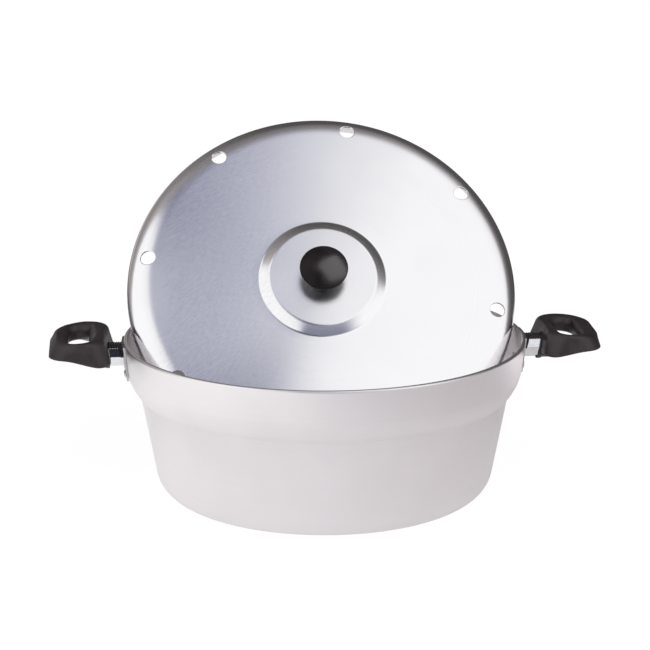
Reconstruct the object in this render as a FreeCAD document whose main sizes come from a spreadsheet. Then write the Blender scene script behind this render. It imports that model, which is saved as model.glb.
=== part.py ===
import FreeCAD, Part
import math
import os
import re
import Sketcher

# A vented stovetop oven pot: a ring-shaped aluminium pot with a hollow chimney in its middle,
# two side grips on riveted brackets, and a domed lid with vent holes and a knob.
# The pot stands on the floor at z = 0 with its axis on Z, its grips lie along X, and the lid
# leans back inside the open pot, its crown on the chimney and its skirt in the rim.

# ---- Driving dimensions, in millimetres and degrees --------------------------------------------
DRIVING = {
    # pot
    "pot_height": 127.0,
    "rim_radius": 160.0,
    "band_depth": 26.0,
    "band_flare": 2.8,
    "step_depth": 44.5,
    "step_inset": 12.2,
    "band_curve_radius": 40.0,
    "step_ledge": 0.8,
    "body_taper": 10.5,
    "foot_corner_radius": 22.0,
    "pot_wall": 2.5,
    "base_thickness": 3.5,
    "rim_edge_radius": 1.0,
    # chimney
    "chimney_foot_radius": 56.0,
    "chimney_top_radius": 37.0,
    "chimney_wall": 1.5,
    "chimney_flange_width": 7.0,
    "chimney_bead_width": 1.6,
    # lid
    "lid_seat_clearance": 0.3,
    "lid_lip_inset": 0.6,
    "lid_skirt_height": 10.0,
    "lid_shoulder_radius": 13.5,
    "lid_crown_slope": 6.6,
    "lid_crown_drop": 8.6,
    "lid_crown_curve": 1800.0,
    "lid_wall": 1.5,
    "hub_base_radius": 51.0,
    "hub_top_radius": 43.0,
    "hub_step": 4.8,
    "hub_crown_drop": 1.4,
    "hub_flat_radius": 14.0,
    "vent_radius": 6.1,
    "vent_inset": 14.8,
    "vent_count": 8,
    "vent_start_angle": -10.3,
    "lid_lean_angle": 50.0,
    "lid_turn_angle": -1.7,
    "lid_centre_back": 46.0,
    "lid_centre_rise": 19.9,
    "lid_rest_clearance": 0.4,
    # knob and its fixing
    "knob_radius": 19.4,
    "knob_edge_height": 14.0,
    "knob_crown": 5.5,
    "knob_flare": 12.0,
    "knob_edge_round": 2.0,
    "knob_foot_radius": 12.5,
    "knob_foot_height": 2.0,
    "knob_stem_radius": 9.0,
    "knob_stem_height": 6.0,
    "insert_radius": 5.0,
    "insert_length": 11.0,
    "insert_end_wall": 1.0,
    "screw_radius": 2.4,
    "thread_clearance": 0.1,
    "screw_head_radius": 4.4,
    "screw_head_height": 2.8,
    "screw_head_recess": 0.4,
    "screw_slot_width": 1.0,
    "screw_slot_depth": 1.0,
    "knob_screw_reach": 9.0,
    "knob_washer_radius": 9.0,
    "knob_washer_thickness": 1.0,
    "lock_washer_radius": 4.2,
    "lock_washer_thickness": 1.2,
    # grip bracket and its rivets
    "grip_axis_drop": 12.1,
    "bracket_thickness": 1.4,
    "bracket_top_drop": 2.0,
    "bracket_foot_drop": 29.5,
    "bracket_arc": 13.0,
    "bracket_clearance": 0.02,
    "bracket_boss_radius": 5.6,
    "bracket_boss_length": 5.0,
    "rivet_radius": 2.2,
    "rivet_head_radius": 3.6,
    "rivet_crown_radius": 2.2,
    "rivet_head_height": 1.4,
    "rivet_drop": 24.6,
    "rivet_spread": 11.0,
    # flame guard
    "guard_radius": 9.5,
    "guard_wall": 1.0,
    # grip
    "guard_length": 10.4,
    "grip_length": 49.0,
    "grip_half_width": 39.0,
    "grip_rise": 3.5,
    "grip_underside_drop": 8.0,
    "grip_neck_drop": 12.7,
    "grip_slope_length": 34.5,
    "grip_outer_corner": 16.0,
    "grip_inner_corner": 9.0,
    "grip_edge_round": 4.5,
    "finger_hole_offset": 16.0,
    "finger_hole_width": 16.5,
    "finger_hole_half_length": 26.0,
    "finger_hole_corner": 7.5,
    "neck_radius": 10.8,
    "neck_length": 14.5,
    "spigot_radius": 6.4,
    "screw_head_clearance": 0.3,
    "cut_margin": 5.0,
}

document = FreeCAD.newDocument("VentedOvenPot")
sheet = document.addObject("Spreadsheet::Sheet", "Sizes")
for row, (alias, number) in enumerate(DRIVING.items(), start=1):
    sheet.set(f"A{row}", alias)
    sheet.set(f"B{row}", str(number))
    sheet.setAlias(f"B{row}", alias)
document.recompute()

# ---- Heights and radii that several pieces share, as expressions of the sizes above ------------
BAND_FOOT_Z = "(pot_height - band_depth)"
STEP_Z = "(pot_height - step_depth)"
BAND_FOOT_RADIUS = "(rim_radius - band_flare)"
STEP_RADIUS = "(rim_radius - step_inset)"
BODY_TOP_RADIUS = f"({STEP_RADIUS} - step_ledge)"
TAPER = "tan(body_taper * 1deg)"
BAND_SLOPE = "(band_flare / band_depth)"
GRIP_AXIS_Z = "(pot_height - grip_axis_drop)"
BRACKET_FACE = f"({BAND_FOOT_RADIUS} + {BAND_SLOPE} * (band_depth - grip_axis_drop) + bracket_clearance)"
PLATE_FACE = f"({BRACKET_FACE} + bracket_thickness)"
BOSS_END = f"({PLATE_FACE} + bracket_boss_length)"
GRIP_START = f"({PLATE_FACE} + guard_length)"
GRIP_END = f"({GRIP_START} + grip_length)"
HOLE_START = f"({GRIP_START} + finger_hole_offset)"
HOLE_END = f"({HOLE_START} + finger_hole_width)"
SCREW_SEAT = f"({GRIP_START} + neck_length - screw_head_height - lock_washer_thickness - screw_head_recess)"
LID_RADIUS = "(rim_radius - pot_wall - lid_seat_clearance)"
LIP_RADIUS = f"({LID_RADIUS} - lid_lip_inset)"
VENT_CIRCLE = f"({LID_RADIUS} - vent_inset)"
CROWN_START_R = f"({LID_RADIUS} - lid_shoulder_radius * (1 - sin(lid_crown_slope * 1deg)))"
CROWN_START_H = "(lid_skirt_height + lid_shoulder_radius * cos(lid_crown_slope * 1deg))"
HUB_BASE_H = f"({CROWN_START_H} + lid_crown_drop)"
HUB_TOP_H = f"({HUB_BASE_H} + hub_step)"
LID_TOP_H = f"({HUB_TOP_H} + hub_crown_drop)"
BORE_RADIUS = "(screw_radius + thread_clearance)"
LID_CENTRE_Z = "(pot_height + lid_centre_rise)"

# The underside of the crown is a straight cone; the chimney ends just below it where the lid leans.
LEAN_SIN = "sin(lid_lean_angle * 1deg)"
LEAN_COS = "cos(lid_lean_angle * 1deg)"
UNDER_EDGE = "(hub_base_radius - lid_wall / 2)"
UNDER_SLOPE = f"(lid_crown_drop / ({CROWN_START_R} - {UNDER_EDGE}))"
UNDER_APEX = f"({CROWN_START_H} - lid_wall + {UNDER_SLOPE} * {CROWN_START_R})"
REST_RADIUS = (f"((lid_centre_back + chimney_top_radius - {UNDER_APEX} * {LEAN_SIN})"
               f" / ({LEAN_COS} - {UNDER_SLOPE} * {LEAN_SIN}))")
REST_DROP = f"{REST_RADIUS} * ({UNDER_SLOPE} * {LEAN_COS} + {LEAN_SIN})"
REST_Z = f"({LID_CENTRE_Z} + {UNDER_APEX} * {LEAN_COS} - {REST_DROP})"
CHIMNEY_TOP = f"({REST_Z} - lid_rest_clearance / {LEAN_COS})"


def bound(text):
    """The expression with each size read from the sheet."""
    return re.sub(r"\b[a-z]+_\w+", r"Sizes.\g<0>", text)


def value(text):
    """The expression worked out as a number, in millimetres."""
    return float(sheet.evalExpression(text))


def bind(thing, name, text):
    """Ties one property to an expression of the sizes."""
    thing.setExpression(name, bound(text))


def origin_plane(body, role):
    return next(plane for plane in body.Origin.OriginFeatures if plane.Role == role)


def make_body(label):
    body = document.addObject("PartDesign::Body", label)
    body.Label = label
    return body


def place(thing, x="0", y="0", z="0", axis=(0, 0, 1), angle="0"):
    """Moves a piece to x, y, z after one turn about an axis, all tied to the sizes."""
    thing.Placement = FreeCAD.Placement(FreeCAD.Vector(), FreeCAD.Rotation(FreeCAD.Vector(*axis), 1))
    for letter, text in zip("xyz", (x, y, z)):
        bind(thing, f"Placement.Base.{letter}", f"({text}) * 1mm")
    bind(thing, "Placement.Rotation.Angle", f"({angle}) * 1deg")


def new_sketch(body, name, role, offset="0"):
    """An empty sketch on one of the body's origin planes, moved along that plane's normal."""
    sketch = body.newObject("Sketcher::SketchObject", name)
    sketch.AttachmentSupport = [(origin_plane(body, role), "")]
    sketch.MapMode = "FlatFace"
    bind(sketch, "AttachmentOffset.Base.z", f"({offset}) * 1mm")
    return sketch


def pin_point(sketch, place_on, direction, text):
    """Fixes one coordinate of a sketch point; a negative one is measured the other way round."""
    geometry, end = place_on
    number = value(text)
    if abs(number) < 1e-9:
        line = -2 if direction == "DistanceX" else -1
        sketch.addConstraint(Sketcher.Constraint("PointOnObject", geometry, end, line))
        return
    ends = (-1, 1, geometry, end) if number > 0 else (geometry, end, -1, 1)
    index = sketch.addConstraint(Sketcher.Constraint(direction, *ends, abs(number)))
    bind(sketch, f"Constraints[{index}]", text if number > 0 else f"-({text})")


def arc_between(start, end, radius, turn):
    """A circular arc from start to end, turning left (1) or right (-1) on the way."""
    chord = end - start
    half = chord.Length / 2
    across = FreeCAD.Vector(-chord.y, chord.x, 0).normalize()
    centre = start + chord * 0.5 + across * (turn * math.sqrt(radius * radius - half * half))
    first, last = (start, end) if turn > 0 else (end, start)
    angles = [math.atan2(point.y - centre.y, point.x - centre.x) for point in (first, last)]
    if angles[1] < angles[0]:
        angles[1] += 2 * math.pi
    circle = Part.Circle(centre, FreeCAD.Vector(0, 0, 1), radius)
    return Part.ArcOfCircle(circle, angles[0], angles[1])


def add_outline(sketch, corners):
    """A closed outline through corners (across, up), given as expressions of the sizes. A corner
    with a radius and a turn starts an arc to the next corner."""
    points = [FreeCAD.Vector(value(corner[0]), value(corner[1]), 0) for corner in corners]
    pieces = []
    for number, corner in enumerate(corners):
        start, end = points[number], points[(number + 1) % len(points)]
        if len(corner) > 2:
            index = sketch.addGeometry(arc_between(start, end, value(corner[2]), corner[3]))
            radius = sketch.addConstraint(Sketcher.Constraint("Radius", index, value(corner[2])))
            bind(sketch, f"Constraints[{radius}]", corner[2])
            pieces.append((index, 1, 2) if corner[3] > 0 else (index, 2, 1))
        else:
            pieces.append((sketch.addGeometry(Part.LineSegment(start, end)), 1, 2))
    for number, (index, first, _) in enumerate(pieces):
        before, _, last = pieces[number - 1]
        sketch.addConstraint(Sketcher.Constraint("Coincident", before, last, index, first))
        pin_point(sketch, (index, first), "DistanceX", corners[number][0])
        pin_point(sketch, (index, first), "DistanceY", corners[number][1])


def add_circle(sketch, across, up, radius):
    """A circle whose centre and radius are expressions of the sizes."""
    centre = FreeCAD.Vector(value(across), value(up), 0)
    index = sketch.addGeometry(Part.Circle(centre, FreeCAD.Vector(0, 0, 1), value(radius)))
    pin_point(sketch, (index, 3), "DistanceX", across)
    pin_point(sketch, (index, 3), "DistanceY", up)
    constraint = sketch.addConstraint(Sketcher.Constraint("Radius", index, value(radius)))
    bind(sketch, f"Constraints[{constraint}]", radius)


def turned(body, name, corners, angle="360"):
    """A turned solid: an outline in the XZ plane revolved about Z, evenly to both sides."""
    sketch = new_sketch(body, name + "_outline", "XZ_Plane")
    add_outline(sketch, corners)
    feature = body.newObject("PartDesign::Revolution", name)
    feature.Profile = sketch
    feature.ReferenceAxis = (sketch, ["V_Axis"])
    feature.Midplane = True
    bind(feature, "Angle", angle)
    document.recompute()
    return feature


def padded(body, name, sketch, length):
    """A pad along the sketch's normal."""
    feature = body.newObject("PartDesign::Pad", name)
    feature.Profile = sketch
    bind(feature, "Length", length)
    document.recompute()
    return feature


def pocketed(body, name, sketch, length=None, reverse=False):
    """A pocket, right through to both sides or to a length; it has to remove something."""
    before = body.Shape.Volume
    feature = body.newObject("PartDesign::Pocket", name)
    feature.Profile = sketch
    feature.Reversed = reverse
    if length is None:
        feature.Type = "ThroughAll"
        feature.Midplane = True
    else:
        bind(feature, "Length", length)
    document.recompute()
    if body.Shape.Volume >= before - 1e-6:
        raise RuntimeError(f"{name} cuts nothing")
    return feature


def grooved(body, name, sketch, angle):
    """A groove turned about Z, evenly to both sides; it has to remove something."""
    before = body.Shape.Volume
    feature = body.newObject("PartDesign::Groove", name)
    feature.Profile = sketch
    feature.ReferenceAxis = (sketch, ["V_Axis"])
    feature.Midplane = True
    bind(feature, "Angle", angle)
    document.recompute()
    if body.Shape.Volume >= before - 1e-6:
        raise RuntimeError(f"{name} cuts nothing")
    return feature


def rounded(body, name, radius, wanted):
    """A fillet on every edge of the body's tip for which wanted(edge) holds."""
    base = body.Tip
    names = [f"Edge{i}" for i, edge in enumerate(base.Shape.Edges, start=1) if wanted(edge)]
    feature = body.newObject("PartDesign::Fillet", name)
    feature.Base = (base, names)
    bind(feature, "Radius", radius)
    document.recompute()
    return feature


def circle_at(edge, radius, height):
    """Whether an edge is a circle about Z with this radius at this height."""
    curve = edge.Curve
    if not isinstance(curve, Part.Circle):
        return False
    return abs(curve.Radius - radius) < 1e-3 and abs(curve.Center.z - height) < 1e-3


# ---- Pot shell: spun from one disc, a flared band over a tapered body, with the flue hole ------
def foot_corner(corner, floor, radius):
    """The two ends of the round between the flat base and the tapered wall, base end first."""
    leg = f"({radius} * tan(45deg - body_taper * 0.5deg))"
    base_end = (f"{corner} - {leg}", floor)
    wall_end = (f"{corner} + {leg} * sin(body_taper * 1deg)", f"{floor} + {leg} * cos(body_taper * 1deg)")
    return base_end, wall_end


def make_pot_shell():
    body = make_body("pot_shell")
    flue = "chimney_foot_radius - chimney_wall"
    ledge_z = f"{STEP_Z} + step_ledge"
    outer_corner = f"({BODY_TOP_RADIUS} - {STEP_Z} * {TAPER})"
    inner_corner = f"({outer_corner} - pot_wall + base_thickness * {TAPER})"
    inner_round = "(foot_corner_radius - pot_wall)"
    outer_base, outer_wall = foot_corner(outer_corner, "0", "foot_corner_radius")
    inner_base, inner_wall = foot_corner(inner_corner, "base_thickness", inner_round)
    turned(body, "pot_spinning", [
        (flue, "0"),
        (*outer_base, "foot_corner_radius", 1),
        outer_wall,
        (BODY_TOP_RADIUS, STEP_Z),
        (STEP_RADIUS, ledge_z, "band_curve_radius", 1),
        (BAND_FOOT_RADIUS, BAND_FOOT_Z),
        ("rim_radius", "pot_height"),
        ("rim_radius - pot_wall", "pot_height"),
        (f"{BAND_FOOT_RADIUS} - pot_wall", BAND_FOOT_Z, "band_curve_radius - pot_wall", -1),
        (f"{STEP_RADIUS} - pot_wall", ledge_z),
        (f"{BODY_TOP_RADIUS} - pot_wall", STEP_Z),
        (*inner_wall, inner_round, -1),
        inner_base,
        (flue, "base_thickness"),
    ])
    holes = new_sketch(body, "rivet_hole_outline", "YZ_Plane")
    for side in ("", "-"):
        add_circle(holes, f"{side}rivet_spread", "pot_height - rivet_drop", "rivet_radius")
    pocketed(body, "rivet_holes", holes)
    rim = value("rim_radius"), value("rim_radius - pot_wall")
    top = value("pot_height")
    rounded(body, "rim_edge", "rim_edge_radius", lambda edge: any(circle_at(edge, r, top) for r in rim))
    return body


# ---- Chimney: a hollow cone whose foot flange lies on the pot's base round the flue hole -------
def make_chimney():
    body = make_body("chimney_cone")
    flange_top = "(base_thickness + chimney_wall)"
    turned(body, "chimney_spinning", [
        ("chimney_foot_radius - chimney_wall", "base_thickness"),
        ("chimney_foot_radius + chimney_flange_width", "base_thickness"),
        ("chimney_foot_radius + chimney_flange_width", flange_top),
        ("chimney_foot_radius", flange_top),
        ("chimney_top_radius", CHIMNEY_TOP),
        ("chimney_top_radius - chimney_wall - chimney_bead_width", CHIMNEY_TOP),
        ("chimney_top_radius - chimney_wall - chimney_bead_width", f"{CHIMNEY_TOP} - chimney_wall"),
        ("chimney_top_radius - chimney_wall", f"{CHIMNEY_TOP} - chimney_wall"),
    ])
    top = value(CHIMNEY_TOP)
    radius = value("chimney_top_radius")
    rounded(body, "chimney_edge", "chimney_wall * 0.8", lambda edge: circle_at(edge, radius, top))
    return body


# ---- Grip bracket: a bent plate riveted to the band, with a threaded boss welded on ------------
def make_bracket(side, turn):
    body = make_body(f"{side}_handle_bracket")
    inner = f"({BAND_FOOT_RADIUS} + bracket_clearance - {BAND_SLOPE} * (bracket_foot_drop - band_depth))"
    upper = f"(rim_radius + bracket_clearance - {BAND_SLOPE} * bracket_top_drop)"
    turned(body, f"{side}_bracket_plate", [
        (inner, "pot_height - bracket_foot_drop"),
        (f"{inner} + bracket_thickness", "pot_height - bracket_foot_drop"),
        (f"{upper} + bracket_thickness", "pot_height - bracket_top_drop"),
        (upper, "pot_height - bracket_top_drop"),
    ], "bracket_arc")
    boss = new_sketch(body, f"{side}_boss_outline", "YZ_Plane", f"{BRACKET_FACE} + bracket_thickness / 2")
    add_circle(boss, "0", GRIP_AXIS_Z, "bracket_boss_radius")
    padded(body, f"{side}_boss", boss, f"{BOSS_END} - {BRACKET_FACE} - bracket_thickness / 2")
    bore = new_sketch(body, f"{side}_bore_outline", "YZ_Plane")
    add_circle(bore, "0", GRIP_AXIS_Z, BORE_RADIUS)
    for across in ("rivet_spread", "-rivet_spread"):
        add_circle(bore, across, "pot_height - rivet_drop", "rivet_radius")
    pocketed(body, f"{side}_bores", bore)
    place(body, angle=turn)
    return body


# ---- Rivets: two to a bracket, each a shank with a head inside the pot and one outside ---------
def make_rivets(side, turn):
    label = f"{side}_bracket_rivets"
    wall = f"({BAND_FOOT_RADIUS} + {BAND_SLOPE} * (band_depth - rivet_drop))"
    inside = f"(({wall}) * cos(asin(rivet_spread / ({wall}))) - pot_wall)"
    outside = f"(({wall} + bracket_thickness) * cos(asin(rivet_spread / ({wall}))) + bracket_clearance)"
    pieces = []
    for number, across in enumerate(("rivet_spread", "-rivet_spread")):
        shank = document.addObject("Part::Cylinder", f"{label}_shank_{number}")
        inner_head = document.addObject("Part::Cone", f"{label}_inner_head_{number}")
        outer_head = document.addObject("Part::Cone", f"{label}_outer_head_{number}")
        bind(shank, "Radius", "rivet_radius")
        bind(shank, "Height", f"{outside} - {inside} + rivet_head_height")
        place(shank, f"{inside} - rivet_head_height / 2", across, "pot_height - rivet_drop", (0, 1, 0), "90")
        rim_and_crown = ("rivet_head_radius", "rivet_crown_radius")
        for head, foot, radii in ((inner_head, f"{inside} - rivet_head_height", rim_and_crown[::-1]),
                                  (outer_head, outside, rim_and_crown)):
            bind(head, "Radius1", radii[0])
            bind(head, "Radius2", radii[1])
            bind(head, "Height", "rivet_head_height")
            place(head, foot, across, "pot_height - rivet_drop", (0, 1, 0), "90")
        pieces += [shank, inner_head, outer_head]
    rivets = document.addObject("Part::MultiFuse", label)
    rivets.Label = label
    rivets.Shapes = pieces
    place(rivets, angle=turn)
    return rivets


# ---- Flame guard: a short eight-sided tube between the bracket and the grip --------------------
def octagon(radius):
    turns = [45 * k for k in range(8)]
    steps = [(f"{radius} * sin({t}deg)", f"{GRIP_AXIS_Z} + {radius} * cos({t}deg)") for t in turns]
    return steps


def make_guard(side, turn):
    body = make_body(f"{side}_flame_guard")
    sketch = new_sketch(body, f"{side}_guard_outline", "YZ_Plane", BRACKET_FACE)
    add_outline(sketch, octagon("guard_radius"))
    add_outline(sketch, octagon("(guard_radius - guard_wall)"))
    padded(body, f"{side}_guard_tube", sketch, f"{GRIP_START} - {BRACKET_FACE}")
    seat = "(rim_radius + bracket_thickness + 2 * bracket_clearance)"
    mitre = new_sketch(body, f"{side}_guard_mitre_outline", "XZ_Plane")
    add_outline(mitre, [
        (STEP_RADIUS, BAND_FOOT_Z),
        (f"{seat} - band_flare", BAND_FOOT_Z),
        (seat, "pot_height"),
        (STEP_RADIUS, "pot_height"),
    ])
    grooved(body, f"{side}_guard_mitre", mitre, "bracket_arc")
    place(body, angle=turn)
    return body


# ---- Grip: a moulded finger loop with a round neck and a spigot inside the flame guard ---------
def make_grip(side, turn):
    body = make_body(f"{side}_handle_grip")
    top = "pot_height + grip_rise"
    plan = new_sketch(body, f"{side}_grip_plan", "XY_Plane", "pot_height - grip_neck_drop")
    add_outline(plan, rounded_box(GRIP_START, GRIP_END, "grip_half_width",
                                  "grip_inner_corner", "grip_outer_corner"))
    padded(body, f"{side}_grip_slab", plan, "grip_rise + grip_neck_drop")
    under = new_sketch(body, f"{side}_grip_under", "XZ_Plane")
    add_outline(under, [
        (GRIP_START, "pot_height - grip_neck_drop"),
        (GRIP_START, "pot_height - grip_neck_drop - cut_margin"),
        (f"{GRIP_END} + cut_margin", "pot_height - grip_neck_drop - cut_margin"),
        (f"{GRIP_END} + cut_margin", "pot_height - grip_underside_drop"),
        (f"{GRIP_START} + grip_slope_length", "pot_height - grip_underside_drop"),
    ])
    pocketed(body, f"{side}_grip_slope", under)
    hole = new_sketch(body, f"{side}_finger_plan", "XY_Plane")
    add_outline(hole, rounded_box(HOLE_START, HOLE_END, "finger_hole_half_length",
                                  "finger_hole_corner", "finger_hole_corner"))
    pocketed(body, f"{side}_finger_hole", hole)
    edge_height = value(top)
    rounded(body, f"{side}_grip_edges", "grip_edge_round",
            lambda edge: all(abs(vertex.Point.z - edge_height) < 1e-6 for vertex in edge.Vertexes))
    neck = new_sketch(body, f"{side}_neck_outline", "YZ_Plane", GRIP_START)
    add_circle(neck, "0", GRIP_AXIS_Z, "neck_radius")
    padded(body, f"{side}_neck", neck, "neck_length")
    spigot = new_sketch(body, f"{side}_spigot_outline", "YZ_Plane", BOSS_END)
    add_circle(spigot, "0", GRIP_AXIS_Z, "spigot_radius")
    padded(body, f"{side}_spigot", spigot, f"{GRIP_START} - {BOSS_END}")
    bore = new_sketch(body, f"{side}_grip_bore_outline", "YZ_Plane")
    add_circle(bore, "0", GRIP_AXIS_Z, BORE_RADIUS)
    pocketed(body, f"{side}_grip_bore", bore)
    seat = new_sketch(body, f"{side}_head_seat_outline", "YZ_Plane", SCREW_SEAT)
    add_circle(seat, "0", GRIP_AXIS_Z, "screw_head_radius + screw_head_clearance")
    pocketed(body, f"{side}_head_seat", seat, "neck_length", reverse=True)
    place(body, angle=turn)
    return body


def rounded_box(low, high, half, low_corner, high_corner):
    """A box from low to high along X and half to each side, with its own corner radii."""
    return [
        (low, f"-{half} + {low_corner}", low_corner, 1),
        (f"{low} + {low_corner}", f"-{half}"),
        (f"{high} - {high_corner}", f"-{half}", high_corner, 1),
        (high, f"-{half} + {high_corner}"),
        (high, f"{half} - {high_corner}", high_corner, 1),
        (f"{high} - {high_corner}", half),
        (f"{low} + {low_corner}", half, low_corner, 1),
        (low, f"{half} - {low_corner}"),
    ]


# ---- Screws and washers, turned about their own axes and then laid in place --------------------
def make_screw(label, length):
    """A pan-head screw, its head below z = 0 and its shank above."""
    body = make_body(label)
    turned(body, f"{label}_turning", [
        ("0", "-screw_head_height"),
        ("screw_head_radius * 0.7", "-screw_head_height"),
        ("screw_head_radius", "-screw_head_height * 0.5"),
        ("screw_head_radius", "0"),
        ("screw_radius", "0"),
        ("screw_radius", length),
        ("0", length),
    ])
    slot = new_sketch(body, f"{label}_slot_outline", "YZ_Plane")
    add_outline(slot, [
        ("-screw_slot_width / 2", "-screw_head_height - cut_margin"),
        ("screw_slot_width / 2", "-screw_head_height - cut_margin"),
        ("screw_slot_width / 2", "-screw_head_height + screw_slot_depth"),
        ("-screw_slot_width / 2", "-screw_head_height + screw_slot_depth"),
    ])
    pocketed(body, f"{label}_slot", slot)
    return body


def make_washer(label, radius, thickness):
    body = make_body(label)
    turned(body, f"{label}_turning", [
        (BORE_RADIUS, "0"),
        (radius, "0"),
        (radius, thickness),
        (BORE_RADIUS, thickness),
    ])
    return body


# ---- Lid: a spun dome with a rounded shoulder, a short skirt, a raised hub and vent holes ------
def make_lid_shell():
    body = make_body("lid_shell")
    under = "lid_wall"
    turned(body, "lid_spinning", [
        (BORE_RADIUS, f"{LID_TOP_H} - {under}"),
        ("hub_flat_radius", f"{LID_TOP_H} - {under}"),
        (f"hub_top_radius - {under} * 0.5", f"{HUB_TOP_H} - {under}"),
        (UNDER_EDGE, f"{HUB_BASE_H} - {under}"),
        (CROWN_START_R, f"{CROWN_START_H} - {under}", "lid_shoulder_radius - lid_wall", -1),
        (f"{LID_RADIUS} - {under}", "lid_skirt_height"),
        (f"{LIP_RADIUS} - {under}", "0"),
        (LIP_RADIUS, "0"),
        (LID_RADIUS, "lid_skirt_height", "lid_shoulder_radius", 1),
        (CROWN_START_R, CROWN_START_H, "lid_crown_curve", 1),
        ("hub_base_radius", HUB_BASE_H),
        ("hub_top_radius", HUB_TOP_H),
        ("hub_flat_radius", LID_TOP_H),
        (BORE_RADIUS, LID_TOP_H),
    ])
    vent = new_sketch(body, "vent_outline", "XY_Plane")
    add_circle(vent, f"{VENT_CIRCLE} * cos(vent_start_angle * 1deg)",
               f"{VENT_CIRCLE} * sin(vent_start_angle * 1deg)", "vent_radius")
    hole = pocketed(body, "vent_hole", vent)
    pattern = body.newObject("PartDesign::PolarPattern", "vent_holes")
    pattern.Originals = [hole]
    pattern.Axis = (vent, ["N_Axis"])
    pattern.Angle = 360
    bind(pattern, "Occurrences", "vent_count")
    body.Tip = pattern
    document.recompute()
    return body


# ---- Knob: moulded on a brass insert, pulled down on the hub by one screw from below -----------
def make_knob():
    body = make_body("lid_knob")
    base = LID_TOP_H
    crown_curve = "((knob_radius ^ 2 + knob_crown ^ 2) / (2 * knob_crown))"
    turned(body, "knob_moulding", [
        ("insert_radius", base),
        ("knob_foot_radius", base),
        ("knob_foot_radius", f"{base} + knob_foot_height"),
        ("knob_stem_radius", f"{base} + knob_stem_height", "knob_flare", -1),
        ("knob_radius - knob_edge_round", f"{base} + knob_edge_height - knob_edge_round"),
        ("knob_radius", f"{base} + knob_edge_height", crown_curve, 1),
        ("0", f"{base} + knob_edge_height + knob_crown"),
        ("0", f"{base} + insert_length"),
        ("insert_radius", f"{base} + insert_length"),
    ])
    return body


def make_insert():
    body = make_body("knob_insert")
    base = LID_TOP_H
    turned(body, "insert_turning", [
        (BORE_RADIUS, base),
        ("insert_radius", base),
        ("insert_radius", f"{base} + insert_length"),
        ("0", f"{base} + insert_length"),
        ("0", f"{base} + insert_length - insert_end_wall"),
        (BORE_RADIUS, f"{base} + insert_length - insert_end_wall"),
    ])
    return body


def lean_lid(body, along="0"):
    """Lays a piece of the lid at its place along the lid's axis, with the lid leaning back."""
    turn = "lid_turn_angle * 1deg"
    tilt = "lid_lean_angle * 1deg"
    back = f"(lid_centre_back - ({along}) * sin({tilt}))"
    up = f"({LID_CENTRE_Z} + ({along}) * cos({tilt}))"
    base = f"vector(-{back} * sin({turn}); {back} * cos({turn}); {up})"
    spin = f"rotation(vector(0; 0; 1); {turn}) * rotation(vector(1; 0; 0); {tilt})"
    body.setExpression("Placement", bound(f"placement({base}; {spin})"))


# ---- Assembly ----------------------------------------------------------------------------------
parts = [make_pot_shell(), make_chimney()]
for side, turn in (("right", "0"), ("left", "180")):
    parts += [make_bracket(side, turn), make_rivets(side, turn)]
    parts += [make_guard(side, turn), make_grip(side, turn)]
    sign = "" if side == "right" else "-"
    washer = make_washer(f"{side}_handle_washer", "lock_washer_radius", "lock_washer_thickness")
    place(washer, f"{sign}{SCREW_SEAT}", "0", GRIP_AXIS_Z, (0, 1, 0), f"{sign}90")
    reach = f"({SCREW_SEAT} + lock_washer_thickness - {PLATE_FACE})"
    screw = make_screw(f"{side}_handle_screw", reach)
    place(screw, f"{sign}({SCREW_SEAT} + lock_washer_thickness)", "0", GRIP_AXIS_Z, (0, 1, 0),
          "-90" if side == "right" else "90")
    parts += [washer, screw]

lid_pieces = [make_lid_shell(), make_knob(), make_insert()]
for piece in lid_pieces:
    lean_lid(piece)
underside = f"({LID_TOP_H} - lid_wall - knob_washer_thickness)"
plain_washer = make_washer("knob_washer", "knob_washer_radius", "knob_washer_thickness")
lean_lid(plain_washer, underside)
lock_washer = make_washer("knob_lock_washer", "lock_washer_radius", "lock_washer_thickness")
lean_lid(lock_washer, f"{underside} - lock_washer_thickness")
knob_screw_length = f"{LID_TOP_H} - {underside} + lock_washer_thickness + knob_screw_reach"
knob_screw = make_screw("knob_screw", knob_screw_length)
lean_lid(knob_screw, f"{underside} - lock_washer_thickness")
parts += lid_pieces + [plain_washer, lock_washer, knob_screw]

# ---- Check every object, then write each piece to its own file ---------------------------------
document.recompute()
for thing in document.Objects:
    if {"Invalid", "Error"} & set(thing.State):
        raise RuntimeError(f"{thing.Label} failed: {thing.State}")
for part in parts:
    if part.Shape.isNull() or not part.Shape.isValid():
        raise RuntimeError(f"{part.Label} has no valid shape")

os.makedirs("parts", exist_ok=True)
for part in parts:
    part.Shape.exportStep(f"parts/{part.Label}.step")
    print(f"{part.Label}: {len(part.Shape.Solids)} solid(s), {part.Shape.Volume:.1f} mm3")
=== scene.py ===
from math import cos, pi, radians, sin, sqrt, tan

import bmesh
import bpy
import numpy as np
from mathutils import Euler, Matrix, Vector


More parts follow.
